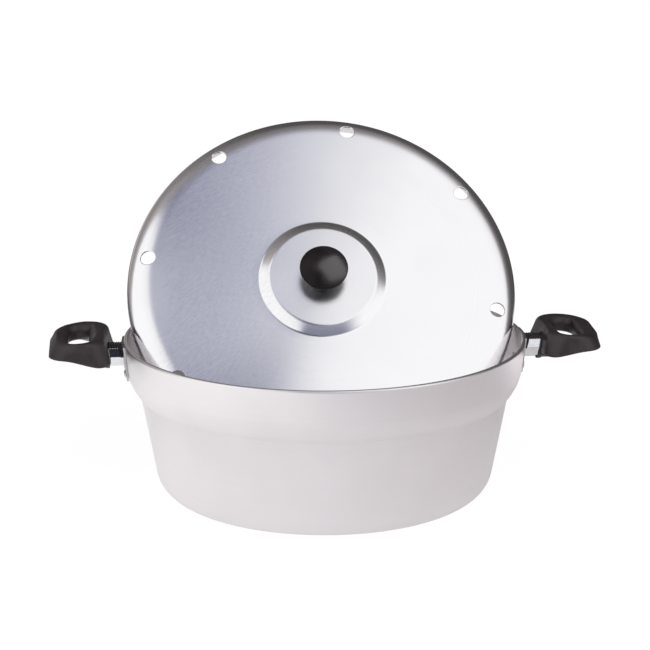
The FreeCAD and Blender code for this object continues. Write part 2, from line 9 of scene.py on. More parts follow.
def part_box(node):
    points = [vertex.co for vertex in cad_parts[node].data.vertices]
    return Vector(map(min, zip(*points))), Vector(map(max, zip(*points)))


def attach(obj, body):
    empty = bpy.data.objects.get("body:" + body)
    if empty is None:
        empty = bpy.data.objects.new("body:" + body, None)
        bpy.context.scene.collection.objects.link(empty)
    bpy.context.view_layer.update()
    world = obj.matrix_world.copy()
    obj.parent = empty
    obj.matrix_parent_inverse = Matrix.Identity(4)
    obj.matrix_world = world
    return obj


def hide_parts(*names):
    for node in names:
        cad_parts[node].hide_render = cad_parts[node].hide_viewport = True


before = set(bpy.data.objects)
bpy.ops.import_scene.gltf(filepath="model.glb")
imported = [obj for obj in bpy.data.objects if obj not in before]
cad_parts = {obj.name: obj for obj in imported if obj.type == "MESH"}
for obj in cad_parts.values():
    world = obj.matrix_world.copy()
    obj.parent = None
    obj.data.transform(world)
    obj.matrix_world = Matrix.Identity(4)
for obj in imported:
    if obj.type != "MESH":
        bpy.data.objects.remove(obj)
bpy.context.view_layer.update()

# ---- Camera ----------------------------------------------
# A long lens looks down on the pot from just above its rim, square on to the grips but for a few
# degrees of turn, so both grips and the whole leaning lid are in view.
rim_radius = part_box("pot_shell")[1][0]
rim_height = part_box("pot_shell")[1][2]
camera_distance = 1.9
camera_turn = radians(-5.0)
camera_rise = radians(14.78)
aim_right = 0.0005
aim_above_rim = 0.0081

aim = Vector((aim_right * cos(camera_turn), aim_right * sin(camera_turn), rim_height + aim_above_rim))
toward = Vector((sin(camera_turn) * cos(camera_rise), -cos(camera_turn) * cos(camera_rise),
                 sin(camera_rise)))
camera_data = bpy.data.cameras.new("studio_camera")
camera_data.lens = 132.2
camera_data.sensor_width = 36.0
camera_data.clip_end = 50.0
camera = bpy.data.objects.new("studio_camera", camera_data)
camera.location = aim + toward * camera_distance
camera.rotation_euler = toward.to_track_quat("Z", "Y").to_euler()
bpy.context.scene.collection.objects.link(camera)
bpy.context.scene.camera = camera
bpy.context.scene.view_settings.view_transform = "Standard"


# ---- Room light ------------------------------------------
# A tent of white cloth: white behind the pot, a broad white panel over its right front, a second
# one far to the left, a grey gap between them and a dark cloth behind and above. The polished parts
# show these, and they light the rest.
def node(tree, kind, settings=None, **feeds):
    """A shader node. Settings are its own properties; feeds are its inputs by name, with _ for a
    space or by number after an i, each a value or another node's output."""
    made = tree.nodes.new(kind)
    for key, value in (settings or {}).items():
        setattr(made, key, value)
    for key, value in feeds.items():
        socket = made.inputs[int(key[1:]) if key[1:].isdigit() else key.replace("_", " ")]
        if isinstance(value, bpy.types.NodeSocket):
            tree.links.new(value, socket)
        else:
            socket.default_value = value
    return made


def maths(tree, operation, first, second=0.0):
    """The result of one operation on two numbers."""
    return node(tree, "ShaderNodeMath", {"operation": operation}, i0=first, i1=second).outputs[0]


def product(tree, *numbers):
    """The product of two or more numbers."""
    result = numbers[0]
    for number in numbers[1:]:
        result = maths(tree, "MULTIPLY", result, number)
    return result


def ease(tree, number, low, high, start=0.0, end=1.0):
    """A number eased from start to end as another goes from low to high, which may also be a fall."""
    return node(tree, "ShaderNodeMapRange", {"interpolation_type": "SMOOTHSTEP"}, i0=number,
                i1=low, i2=high, i3=start, i4=end).outputs[0]


def ramp(tree, number, low, high, start, end):
    """A number that goes straight from start to end as another goes from low to high."""
    return node(tree, "ShaderNodeMapRange", i0=number, i1=low, i2=high, i3=start, i4=end).outputs[0]


def strip(tree, number, rise, fall):
    """A mask that eases up over the first pair of a number's values and down again over the second."""
    return product(tree, ease(tree, number, *rise), ease(tree, number, *fall[::-1]))


def between(tree, first, second, share):
    """A number between two others, by share of the second."""
    return node(tree, "ShaderNodeMix", {"data_type": "FLOAT"},
                i0=share, i2=first, i3=second).outputs[0]


def tinted(tree, first, second, share):
    """A colour between two others, by share of the second."""
    return node(tree, "ShaderNodeMix", {"data_type": "RGBA"},
                i0=share, i6=first, i7=second).outputs[2]


def split(tree, place, count):
    """The first numbers of a place: x, y and z, as many as are asked for."""
    return node(tree, "ShaderNodeSeparateXYZ", Vector=place).outputs[:count]


world = bpy.data.worlds.new("studio_tent")
bpy.context.scene.world = world
world.use_nodes = True
tent = world.node_tree
tent.nodes.clear()
way = node(tent, "ShaderNodeTexCoord").outputs["Generated"]
east, north, height = split(tent, way, 3)
pure_white, bluish, pinkish = (1.0, 1.0, 1.0, 1.0), (0.72, 0.75, 1.0, 1.0), (1.0, 0.93, 0.92, 1.0)
panel_level, gap_level, low_level = 1.01, 0.30, 0.28
horizon_level, back_level, camera_level = 0.30, 0.55, 0.03

# The panel over the right front fades to the grey gap on its left.
side_way = maths(tent, "ADD", east, maths(tent, "MULTIPLY", north, -0.25))
level = ease(tent, side_way, -0.27, 0.315, gap_level, 1.0)
# The panel far to the left: its edge slants.
panel_edge = maths(tent, "ADD", east, ease(tent, north, -0.30, 0.25, 0.0, 0.26))
level = between(tent, level, panel_level, ease(tent, panel_edge, -0.245, -0.325))
# Low in front: grey to the left of the middle, white to the right of it, and a grey horizon.
low_front = ease(tent, north, -0.50, -0.62)
low_left = strip(tent, east, (-0.42, -0.30), (-0.09, -0.01))
level = between(tent, level, low_level, product(tent, low_front, low_left))
level = between(tent, level, panel_level, product(tent, low_front, ease(tent, east, -0.01, 0.05)))
horizon = product(tent, ease(tent, north, -0.3, -0.5), ease(tent, height, 0.60, 0.22),
                  strip(tent, east, (-0.36, -0.14), (0.30, 0.62)))
level = between(tent, level, horizon_level, horizon)
# The dark cloth behind: its edge bends to both sides, and it is lighter at the left and by the edge.
cloth_edge = maths(tent, "SUBTRACT", north, ease(tent, east, -0.92, -0.25, 0.35, 0.05))
for bend in (ease(tent, east, 0.25, 0.75, 0.0, 0.20), ease(tent, east, -0.15, 0.05, 0.09, 0.0)):
    cloth_edge = maths(tent, "ADD", cloth_edge, bend)
dark_back = ease(tent, cloth_edge, -0.10, 0.08)
cloth_level = maths(tent, "ADD", ease(tent, east, -0.60, -0.02, 0.20, 0.015),
                    ease(tent, cloth_edge, 0.0, 0.42, 0.20, 0.065))
level = between(tent, level, cloth_level, dark_back)
low_back = product(tent, ease(tent, north, 0.6, 0.85), ease(tent, height, 0.35, 0.10),
                   ease(tent, east, -0.02, -0.25))
level = between(tent, level, back_level, low_back)
# The dark gap between the panels, where the camera stands.
camera_gap = product(tent, strip(tent, east, (-0.36, -0.26), (0.03, 0.09)),
                     strip(tent, height, (0.28, 0.40), (0.54, 0.60)),
                     ease(tent, north, -0.76, -0.84))
level = between(tent, level, camera_level, camera_gap)

tent_colour = tinted(tent, bluish, pure_white, ease(tent, level, 0.3, 1.0))
tent_colour = tinted(tent, tent_colour, pinkish, dark_back)
seen = node(tent, "ShaderNodeLightPath").outputs["Is Camera Ray"]
tent_light = node(tent, "ShaderNodeBackground", Color=tinted(tent, tent_colour, pure_white, seen),
                  Strength=between(tent, level, 1.0, seen))
node(tent, "ShaderNodeOutputWorld", Surface=tent_light.outputs[0])


def lamp(name, place, size, power):
    """A square soft lamp at a place, aimed at the middle of the rim."""
    data = bpy.data.lights.new(name, "AREA")
    data.size = size
    data.energy = power
    lamp_object = bpy.data.objects.new(name, data)
    lamp_object.location = place
    lamp_object.rotation_euler = (Vector(place) - aim).to_track_quat("Z", "Y").to_euler()
    lamp_object.visible_glossy = False
    bpy.context.scene.collection.objects.link(lamp_object)
    return lamp_object


lamp("key_lamp", (1.0, -1.6, 1.3), 1.2, 12.0)
lamp("fill_lamp", (-1.2, -1.8, 0.5), 1.2, 11.0)

# ---- Floor -----------------------------------------------
# A wide white sheet. It glows enough to look white and still takes the pot's soft shadow. Seen in
# reflections alone, its glow is painted reflection light for the side of the pot: brighter to the
# left and near the pot, dark far behind and far to the left, and pinker to the right.
floor_half, floor_drop = 8.0, 0.0004
corner_signs = ((-1, -1), (1, -1), (1, 1), (-1, 1))
floor_mesh = bpy.data.meshes.new("white_floor")
floor_mesh.from_pydata([(x * floor_half, y * floor_half, -floor_drop) for x, y in corner_signs], [],
                       [(0, 1, 2, 3)])
floor = bpy.data.objects.new("white_floor", floor_mesh)
bpy.context.scene.collection.objects.link(floor)


def blank_material(name):
    """A material with an empty node tree, and that tree."""
    material = bpy.data.materials.new(name)
    material.use_nodes = True
    material.node_tree.nodes.clear()
    return material, material.node_tree


def surface_place(tree):
    """The place on the surface that is being shaded, in the shared frame."""
    return node(tree, "ShaderNodeTexCoord").outputs["Object"]


floor_material, tree = blank_material("white_paper")
rays = node(tree, "ShaderNodeLightPath")
camera_ray, glossy_ray = rays.outputs["Is Camera Ray"], rays.outputs["Is Glossy Ray"]
across, away = split(tree, surface_place(tree), 2)
near_level, far_level, dark_level, left_level, seen_glow = 0.95, 0.53, 0.06, 0.12, 0.87
to_right = ease(tree, across, -0.42, 0.45)
right_end = product(tree, ease(tree, across, 0.2, 0.4), ease(tree, away, 0.02, 0.25, 0.0, 0.50))
left_end = product(tree, ease(tree, across, -0.3, -0.4),
                   ease(tree, away, 0.12, 0.22, 0.0, -0.42))
# The glow seen only in reflections: painted reflection light, unlike the even white the camera sees.
mirrored = maths(tree, "ADD", between(tree, near_level, far_level, to_right),
                 maths(tree, "ADD", right_end, left_end))
far_back = product(tree, ease(tree, away, 0.45, 0.90), ease(tree, across, -0.30, 0.05))
mirrored = between(tree, mirrored, dark_level, far_back)
far_left = product(tree, ease(tree, away, 0.28, 0.42), ease(tree, across, -0.30, -0.42))
mirrored = between(tree, mirrored, left_level, far_left)
# A pinker tint in reflections to the right: a painted reflection colour.
reflection_tint = tinted(tree, pure_white, (1.0, 0.955, 0.985, 1.0), product(tree, to_right, glossy_ray))
glow = maths(tree, "ADD", product(tree, camera_ray, seen_glow), product(tree, glossy_ray, mirrored))
matt = between(tree, between(tree, 0.8, 0.28, camera_ray), 0.0, glossy_ray)
matt_colour = node(tree, "ShaderNodeCombineColor", i0=matt, i1=matt, i2=matt).outputs[0]
paper = node(tree, "ShaderNodeBsdfDiffuse", Color=matt_colour)
light = node(tree, "ShaderNodeEmission", Color=reflection_tint, Strength=glow)
both = node(tree, "ShaderNodeAddShader", i0=paper.outputs[0], i1=light.outputs[0])
node(tree, "ShaderNodeOutputMaterial", Surface=both.outputs[0])
floor_mesh.materials.append(floor_material)


# ---- Pot shell -------------------------------------------
# One thick aluminium disc spun to a tapered ring-shaped pan, with a wider band pushed out at the top
# for the lid to drop into, and a round flue hole in its base. The outside is left satin.
def bent(start, end, radius, turn, steps=12):
    """Points on the circular arc from start to end that turns left (1) or right (-1): the centre lies
    on the chord's perpendicular, and the angle goes evenly between the ends."""
    start, end = np.array(start), np.array(end)
    chord = end - start
    half = np.hypot(*chord) / 2
    sideways = np.array((-chord[1], chord[0])) / (2 * half)
    centre = start + chord / 2 + sideways * turn * sqrt(radius**2 - half**2)
    first, last = (np.arctan2(*(point - centre)[::-1]) for point in (start, end))
    sweep = (last - first) * turn % (2 * pi) * turn
    angles = first + sweep * np.linspace(0, 1, steps + 1)
    return centre + radius * np.stack([np.cos(angles), np.sin(angles)], axis=1)


def softened(corners, steps=5, closed=True):
    """An outline whose corners (across, up, radius) are rounded: each arc touches both straight sides
    at radius times the tangent of half the turn from the corner."""
    corners = [tuple(corner) + (0.0,) * (3 - len(corner)) for corner in corners]
    pieces = []
    for number, (x, z, radius) in enumerate(corners):
        here = np.array((x, z))
        if radius == 0 or (not closed and number in (0, len(corners) - 1)):
            pieces.append(here[None])
            continue
        back = np.array(corners[number - 1][:2]) - here
        ahead = np.array(corners[(number + 1) % len(corners)][:2]) - here
        back, ahead = back / np.hypot(*back), ahead / np.hypot(*ahead)
        turn = pi - np.arccos(np.clip(back @ ahead, -1, 1))
        leg = radius * tan(turn / 2)
        left = 1 if back[1] * ahead[0] - back[0] * ahead[1] > 0 else -1
        pieces.append(bent(here + back * leg, here + ahead * leg, radius, left, steps))
    return np.concatenate(pieces)


def grid_faces(rows, columns, wrap_rows=True, wrap_columns=True):
    """Four-sided faces of a grid of points: each joins a point to the next ones in its row and its
    column, and a wrapped way joins the last to the first."""
    row = np.arange(rows if wrap_rows else rows - 1)[:, None]
    column = np.arange(columns if wrap_columns else columns - 1)[None, :]
    next_row, next_column = (row + 1) % rows, (column + 1) % columns
    corners = [row * columns + column, row * columns + next_column,
               next_row * columns + next_column, next_row * columns + column]
    return np.stack(np.broadcast_arrays(*corners), axis=-1).reshape(-1, 4)


def turned(outline, segments=256, closed=True, start=0.0):
    """A turned surface: outline point i goes round the axis, so a point is (r cos a, r sin a, z) for
    its r and z and the angle a, from the start angle on. The outline closes on itself or is open."""
    angle = start + np.arange(segments) * 2 * pi / segments
    r, z = outline[:, 0, None], outline[:, 1, None]
    points = np.stack([r * np.cos(angle), r * np.sin(angle), z + 0 * angle], axis=-1)
    return points.reshape(-1, 3), grid_faces(len(outline), segments, wrap_rows=closed)


def make_mesh(name, shells, closed=True):
    """One mesh from shells of points and faces. Points in one place are merged, which closes seams
    and poles. The faces of closed shells are turned outwards, and those of an open one up."""
    mesh = bpy.data.meshes.new(name)
    starts = np.cumsum([0] + [len(points) for points, _ in shells])
    points = np.concatenate([points for points, _ in shells])
    faces = [face for (_, grid), start in zip(shells, starts) for face in (grid + start).tolist()]
    mesh.from_pydata(points.tolist(), [], faces)
    work = bmesh.new()
    work.from_mesh(mesh)
    bmesh.ops.remove_doubles(work, verts=work.verts, dist=2e-6)
    bmesh.ops.recalc_face_normals(work, faces=work.faces)
    if not closed and max(work.faces, key=lambda face: face.calc_center_median().z).normal.z < 0:
        bmesh.ops.reverse_faces(work, faces=work.faces)
    work.to_mesh(mesh)
    work.free()
    return mesh


def turning_uv(mesh):
    """Lays a map round the z axis: u is the angle as a share of a turn, carried on past a whole turn
    within a face, and v is the distance from the axis plus the height, in metres."""
    points = np.empty(len(mesh.vertices) * 3)
    mesh.vertices.foreach_get("co", points)
    points = points.reshape(-1, 3)
    corner = np.empty(len(mesh.loops), dtype=int)
    mesh.loops.foreach_get("vertex_index", corner)
    sides = np.empty(len(mesh.polygons), dtype=int)
    mesh.polygons.foreach_get("loop_total", sides)
    first = np.repeat(np.cumsum(sides) - sides, sides)
    place = points[corner]
    angle = np.arctan2(place[:, 1], place[:, 0])
    start = angle[first]
    angle = start + (angle - start + pi) % (2 * pi) - pi
    run = np.hypot(place[:, 0], place[:, 1]) + place[:, 2]
    layer = mesh.uv_layers.new(name="turning")
    layer.data.foreach_set("uv", np.stack([angle / (2 * pi), run], axis=1).ravel())


def place_mesh(mesh, matrix):
    """Moves a mesh's points by a matrix."""
    mesh.transform(matrix)
    mesh.update()


def add_piece(name, mesh, material, body, nodes, sharp=35.0):
    """A finished piece: smooth but for edges sharper than an angle, riding on its body in place of its
    CAD nodes."""
    piece = bpy.data.objects.new(name, mesh)
    bpy.context.scene.collection.objects.link(piece)
    mesh.materials.append(material)
    mesh.shade_smooth()
    mesh.set_sharp_from_angle(angle=radians(sharp))
    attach(piece, body)
    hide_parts(*nodes)
    return piece


def modified(mesh, *modifiers):
    """The mesh with modifiers applied: each is a kind and its settings."""
    helper = bpy.data.objects.new("helper", mesh)
    bpy.context.scene.collection.objects.link(helper)
    for kind, settings in modifiers:
        modifier = helper.modifiers.new(kind.lower(), kind)
        for key, value in settings.items():
            setattr(modifier, key, value)
    bpy.context.view_layer.update()
    finished = helper.evaluated_get(bpy.context.evaluated_depsgraph_get())
    result = bpy.data.meshes.new_from_object(finished)
    result.name = mesh.name
    bpy.data.objects.remove(helper)
    return result


def new_group(name, inputs, outputs):
    """A shader node group with named inputs and outputs, each a socket kind and a default value."""
    group = bpy.data.node_groups.new(name, "ShaderNodeTree")
    for label, (kind, start) in inputs.items():
        socket = group.interface.new_socket(name=label, in_out="INPUT", socket_type=kind)
        if start is not None:
            socket.default_value = start
    for label, kind in outputs.items():
        group.interface.new_socket(name=label, in_out="OUTPUT", socket_type=kind)
    return group, group.nodes.new("NodeGroupInput").outputs, group.nodes.new("NodeGroupOutput").inputs


def length(tree, place):
    """The length of a vector."""
    return node(tree, "ShaderNodeVectorMath", {"operation": "LENGTH"}, i0=place).outputs["Value"]


def noise(tree, place, scale, detail, roughness=0.5):
    """Noise from 0 to 1 at a place."""
    return node(tree, "ShaderNodeTexNoise", Vector=place, Scale=scale, Detail=detail,
                Roughness=roughness).outputs["Fac"]


def in_frame(tree, place, **feeds):
    """A place as seen in a frame that is moved, turned or stretched."""
    return node(tree, "ShaderNodeMapping", {"vector_type": "TEXTURE"}, Vector=place, **feeds).outputs[0]


def relief(tree, height, strength, depth):
    """The surface's direction where a height from 0 to 1 stands out from it by a depth."""
    return node(tree, "ShaderNodeBump", Strength=strength, Distance=depth, Height=height).outputs[0]


def shaded(tree, **feeds):
    """The material's shader, with its inputs by name, joined to the output."""
    shader = node(tree, "ShaderNodeBsdfPrincipled", **feeds)
    node(tree, "ShaderNodeOutputMaterial", Surface=shader.outputs[0])
    return shader


# Marks of spinning: rings that differ in radius and height but run on round the axis.
spun_marks, given, result = new_group(
    "spun_marks",
    {"Place": ("NodeSocketVector", None), "Rings per metre": ("NodeSocketFloat", 900.0),
     "Breaks per turn": ("NodeSocketFloat", 0.7)},
    {"Marks": "NodeSocketFloat"})
x, y, z = split(spun_marks, given["Place"], 3)
flat_place = node(spun_marks, "ShaderNodeCombineXYZ", X=x, Y=y).outputs[0]
round_way = node(spun_marks, "ShaderNodeVectorMath", {"operation": "NORMALIZE"}, i0=flat_place).outputs[0]
round_x, round_y = split(spun_marks, round_way, 2)
across_rings = product(spun_marks, maths(spun_marks, "ADD", length(spun_marks, flat_place), z),
                       given["Rings per metre"])
noise_place = node(spun_marks, "ShaderNodeCombineXYZ", X=across_rings,
                   Y=product(spun_marks, round_x, given["Breaks per turn"]),
                   Z=product(spun_marks, round_y, given["Breaks per turn"])).outputs[0]
spun_marks.links.new(noise(spun_marks, noise_place, 1.0, 3.0, 0.6), result["Marks"])

# Cloudiness of handled metal: slow soft patches.
handling, given, result = new_group(
    "handling_clouds",
    {"Place": ("NodeSocketVector", None), "Size": ("NodeSocketFloat", 0.05)},
    {"Clouds": "NodeSocketFloat"})
clouds = noise(handling, given["Place"], maths(handling, "DIVIDE", 1.0, given["Size"]), 2.0)
handling.links.new(ease(handling, clouds, 0.3, 0.7), result["Clouds"])


def spun_metal(name, light_colour, dark_colour, roughness, rings, bump, spread=0.05, clouds=0.2,
               axis=None, tangent=0.0, centre=None, grain=None):
    """Spun metal: rings of slightly different tone and polish, and slow clouds of handling. Axis is
    the place and turn of the spinning axis, if it isn't the z axis, and tangent is how far the shine
    is drawn out across the rings. Centre is a radius within which the metal is less polished, and by
    how much. Grain is the way the sheet's own fine grain runs: it is painted only over a strip to
    the left of the axis."""
    material, tree = blank_material(name)
    place = surface_place(tree)
    if axis:
        place = in_frame(tree, place, Location=axis[0], Rotation=axis[1])
    marks = node(tree, "ShaderNodeGroup", {"node_tree": spun_marks}, Place=place,
                 Rings_per_metre=rings).outputs[0]
    patches = node(tree, "ShaderNodeGroup", {"node_tree": handling}, Place=place).outputs[0]
    share = between(tree, marks, patches, clouds)
    colour = tinted(tree, light_colour, dark_colour, ease(tree, share, 0.2, 0.85))
    if grain is not None:
        fibre_length, fibre_width = 0.0045, 0.0007
        grain_place = in_frame(tree, place, Rotation=(0.0, 0.0, grain),
                               Scale=(fibre_length, fibre_width, 0.01))
        # The grain's darker streaks are laid only over a strip to the left of the axis.
        left = split(tree, place, 1)[0]
        kept = product(tree, ease(tree, left, 0.02, -0.09), ease(tree, left, -0.145, -0.115),
                       ease(tree, noise(tree, grain_place, 1.0, 3.0, 0.6), 0.35, 0.65))
        colour = tinted(tree, colour, (0.83, 0.83, 0.86, 1.0), kept)
    polish = ramp(tree, share, 0.25, 0.75, roughness - spread, roughness + spread)
    if centre:
        flat_place = node(tree, "ShaderNodeVectorMath", {"operation": "MULTIPLY"}, i0=place,
                          i1=(1.0, 1.0, 0.0)).outputs[0]
        rougher = ease(tree, length(tree, flat_place), centre[0] * 0.92, centre[0] * 1.04, centre[1], 0.0)
        polish = maths(tree, "ADD", polish, rougher)
    shader = shaded(tree, Base_Color=colour, Metallic=1.0, Roughness=polish,
                    Normal=relief(tree, marks, bump, 0.0004))
    if tangent:
        shader.inputs["Anisotropic"].default_value = tangent
        shader.inputs["Anisotropic Rotation"].default_value = 0.25
        ring_way = node(tree, "ShaderNodeTangent", {"direction_type": "UV_MAP", "uv_map": "turning"})
        tree.links.new(ring_way.outputs[0], shader.inputs["Tangent"])
    return material


pot_wall, base_thickness = 0.0025, 0.0035
band_depth, band_flare = 0.026, 0.0028
step_depth, step_inset, step_ledge = 0.0445, 0.0122, 0.0008
body_taper = radians(10.5)
foot_round, step_curve = 0.022, 0.040
rim_round, rim_inner_round = 0.0019, 0.0005
flue_radius = 0.0545

band_foot = (rim_radius - band_flare, rim_height - band_depth)
step_edge = (rim_radius - step_inset, rim_height - step_depth + step_ledge)
body_top = (rim_radius - step_inset - step_ledge, rim_height - step_depth)
foot_corner = (body_top[0] - body_top[1] * tan(body_taper), 0.0, foot_round)
inner_foot = (foot_corner[0] - pot_wall + base_thickness * tan(body_taper), base_thickness,
              foot_round - pot_wall)
inside = np.array((-pot_wall, 0.0))
outside_body = softened([(flue_radius, 0.0), foot_corner, body_top], steps=14, closed=False)
outside_band = bent(step_edge, band_foot, step_curve, 1)
rim_edge = softened([band_foot, (rim_radius, rim_height, rim_round),
                     (rim_radius - pot_wall, rim_height, rim_inner_round),
                     np.array(band_foot) + inside], steps=8, closed=False)[1:-1]
inside_band = bent(np.array(band_foot) + inside, np.array(step_edge) + inside, step_curve - pot_wall, -1)
inside_body = softened([np.array(body_top) + inside, inner_foot, (flue_radius, base_thickness)],
                       steps=14, closed=False)
pot_outline = np.concatenate([outside_body, outside_band, rim_edge, inside_band, inside_body])
pot_mesh = make_mesh("pot_shell_spun", [turned(pot_outline, 320)])
turning_uv(pot_mesh)
pot_metal = spun_metal("satin_pot_aluminium", (0.955, 0.925, 0.935, 1.0), (0.925, 0.895, 0.905, 1.0),
                       roughness=0.38, rings=1500.0, bump=0.025, clouds=0.3)
add_piece("pot_shell_spun", pot_mesh, pot_metal, "pot", ["pot_shell"])

# ---- Chimney ---------------------------------------------
# A hollow aluminium cone that carries hot air up through the middle, pressed on the base with a flat
# flange and turned in at the top to a smooth bead.
chimney_low, chimney_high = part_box("chimney_cone")
chimney_foot, chimney_top = 0.056, 0.037
chimney_wall, chimney_bead = 0.0015, 0.0031
flange_top = chimney_low[2] + chimney_wall
chimney_outline = softened([
    (chimney_foot - chimney_wall, chimney_low[2]),
    (chimney_high[0], chimney_low[2], 0.0004),
    (chimney_high[0], flange_top, 0.0006),
    (chimney_foot, flange_top, 0.0022),
    (chimney_top, chimney_high[2], 0.0013),
    (chimney_top - chimney_bead, chimney_high[2], 0.0006),
    (chimney_top - chimney_bead, chimney_high[2] - chimney_wall, 0.0005),
    (chimney_top - chimney_wall, chimney_high[2] - chimney_wall)], steps=6)
chimney_mesh = make_mesh("chimney_spun", [turned(chimney_outline, 192)])
turning_uv(chimney_mesh)
chimney_metal = spun_metal("spun_chimney_aluminium", (0.86, 0.86, 0.87, 1.0), (0.72, 0.72, 0.74, 1.0),
                           roughness=0.33, rings=1800.0, bump=0.25)
add_piece("chimney_spun", chimney_mesh, chimney_metal, "pot", ["chimney_cone"])


# ---- Grip brackets ---------------------------------------
# Bent steel plates with a welded boss, one on each side of the band under the rim. They keep their
# CAD shape and get a rolled and plated finish.
def plated_metal(name, light_colour, dark_colour, roughness, grain, bump):
    """Plated or bare small metal parts: a fine grain in tone and polish, and slow clouds."""
    material, tree = blank_material(name)
    place = surface_place(tree)
    fine = noise(tree, place, grain, 4.0, 0.65)
    patches = node(tree, "ShaderNodeGroup", {"node_tree": handling}, Place=place, Size=0.006).outputs[0]
    share = between(tree, fine, patches, 0.5)
    colour = tinted(tree, light_colour, dark_colour, ease(tree, share, 0.25, 0.8))
    polish = ramp(tree, share, 0.2, 0.8, roughness * 0.8, roughness * 1.25)
    shaded(tree, Base_Color=colour, Metallic=1.0, Roughness=polish, Normal=relief(tree, fine, bump, 0.0002))
    return material


def finish_nodes(names, material):
    """Gives CAD nodes that keep their shape a finish."""
    for name in names:
        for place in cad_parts[name].material_slots:
            place.material = material


sides = (("right", 1), ("left", -1))
bracket_metal = plated_metal("rolled_bracket_steel", (0.66, 0.65, 0.64, 1.0), (0.50, 0.49, 0.48, 1.0),
                             roughness=0.30, grain=900.0, bump=0.15)
finish_nodes([f"{side}_handle_bracket" for side, _ in sides], bracket_metal)

# ---- Bracket rivets --------------------------------------
# Two aluminium rivets hold each bracket: low domed heads inside the pot and out, hammered over.
rivet_metal = plated_metal("hammered_rivet_aluminium", (0.80, 0.79, 0.79, 1.0), (0.62, 0.61, 0.61, 1.0),
                           roughness=0.34, grain=500.0, bump=0.3)
rivet_head, rivet_shank, rivet_height, rivet_dome = 0.0036, 0.0022, 0.0014, 0.0052
rivet_spread = 0.011
for side, sign in sides:
    low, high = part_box(f"{side}_bracket_rivets")
    inner_x, outer_x = sorted((abs(low[0]), abs(high[0])))
    seats = (inner_x + rivet_height, outer_x - rivet_height)
    head = bent((0.0, rivet_height), (rivet_head * 0.86, rivet_height * 0.42), rivet_dome, -1, 6)
    edge = [(rivet_head, rivet_height * 0.18), (rivet_head, 0.0)]
    outer_part = np.concatenate([head, edge, [(rivet_shank, 0.0)]]) + (0.0, seats[1])
    inner_part = np.concatenate([[(rivet_shank, 0.0)], edge[::-1], head[::-1]]) * (1, -1)
    points, faces = turned(np.concatenate([outer_part, inner_part + (0.0, seats[0])]), 32, closed=False)
    upright = points[:, [2, 1, 0]] * (sign, 1, 1) + (0.0, 0.0, (low[2] + high[2]) / 2)
    shells = [(upright + (0.0, across, 0.0), faces) for across in (rivet_spread, -rivet_spread)]
    rivet_mesh = make_mesh(f"{side}_rivets_domed", shells)
    add_piece(f"{side}_rivets_domed", rivet_mesh, rivet_metal, "pot",
              [f"{side}_bracket_rivets"])

# ---- Flame guards ----------------------------------------
# Short eight-sided tubes of chromed steel between bracket and grip, which keep the burner's heat off
# the plastic. The inner end is cut to the slope of the band.
chrome = plated_metal("bright_chrome", (0.90, 0.90, 0.92, 1.0), (0.82, 0.82, 0.85, 1.0),
                      roughness=0.07, grain=260.0, bump=0.03)
guard_wall, guard_edge = 0.001, 0.0003
guard_socket, guard_end_gap = 0.005, 0.0006
plate_offset = 0.00144
grip_axis_z = sum(corner[2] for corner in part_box("right_flame_guard")) / 2


def plate_reach(y, z):
    """How far out the bracket plate lies at a place across and up: it is part of a cone round the
    pot's axis, whose radius falls with depth below the rim."""
    plate = rim_radius + plate_offset - band_flare * (rim_height - z) / band_depth
    return np.sqrt(plate**2 - y**2)


def guard_tube(sign):
    """An eight-sided tube in four rings of corners, out along the outside and back along the bore.
    Corner k is at 45 k degrees, at the outer or inner radius, and the inner end lies on the plate."""
    low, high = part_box("right_flame_guard")
    radius = (high[2] - low[2]) / 2
    turns = np.arange(8) * pi / 4
    rings = []
    for ring_radius, far in ((radius, False), (radius, True), (radius - guard_wall, True),
                             (radius - guard_wall, False)):
        y = ring_radius * np.sin(turns)
        z = grip_axis_z + ring_radius * np.cos(turns)
        x = np.full(8, high[0] + guard_socket - guard_end_gap) if far else plate_reach(y, z)
        rings.append(np.stack([sign * x, y, z], axis=1))
    return np.concatenate(rings), grid_faces(4, 8)


for side, sign in sides:
    guard_mesh = modified(make_mesh(f"{side}_guard_tube", [guard_tube(sign)]),
                          ("BEVEL", {"width": guard_edge, "segments": 3, "limit_method": "ANGLE"}))
    add_piece(f"{side}_guard_tube", guard_mesh, chrome, "pot", [f"{side}_flame_guard"], sharp=5.0)

# ---- Grips -----------------------------------------------
# Heat-proof moulded finger loops: a crowned top, drafted sides, a finger slot with soft edges, and a
# ribbed neck that swallows the end of the flame guard. One screw in the neck holds each, and the two
# sit a little differently.
grip_low, grip_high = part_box("right_handle_grip")
grip_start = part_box("right_flame_guard")[1][0]
grip_half, grip_top, grip_tilt = grip_high[1], grip_high[2], 0.0028
slot_start, slot_end, slot_half, slot_round = grip_start + 0.016, grip_start + 0.0325, 0.026, 0.0075
slot_depth, slot_fall, slot_edge, slot_edge_fall = 0.0110, 0.0026, 0.009, 0.0024
underside_end, underside_neck, underside_middle = (rim_height - fall for fall in (0.0087, 0.0140, 0.020))
underside_start, underside_run, underside_width = 0.005, 0.033, 0.015
end_draft, side_draft, inner_lean = 0.0009, 0.0026, 0.0042
low_corners, top_inner_corner, crest_rise = (0.012, 0.014), 0.018, 0.0008
neck_radius, neck_length, spigot_radius, bore_radius, seat_radius = 0.0108, 0.0145, 0.0064, 0.0025, 0.0047
neck_waist, socket_radius = neck_radius - 0.0009, 0.0097
seat_start = grip_start + neck_length - 0.0044
neck_slant, slant_fade, slant_inside, grip_skew = 0.0034, 0.009, 0.009, 0.0042


def evenly(outline, count):
    """The closed outline again, as points that lie evenly along it: each takes its place between the
    two nearest points by the distance run so far."""
    ends = np.concatenate([outline, outline[:1]])
    run = np.concatenate([[0], np.cumsum(np.hypot(*np.diff(ends, axis=0).T))])
    stops = np.arange(count) * run[-1] / count
    return np.stack([np.interp(stops, run, ends[:, 0]), np.interp(stops, run, ends[:, 1])], axis=1)


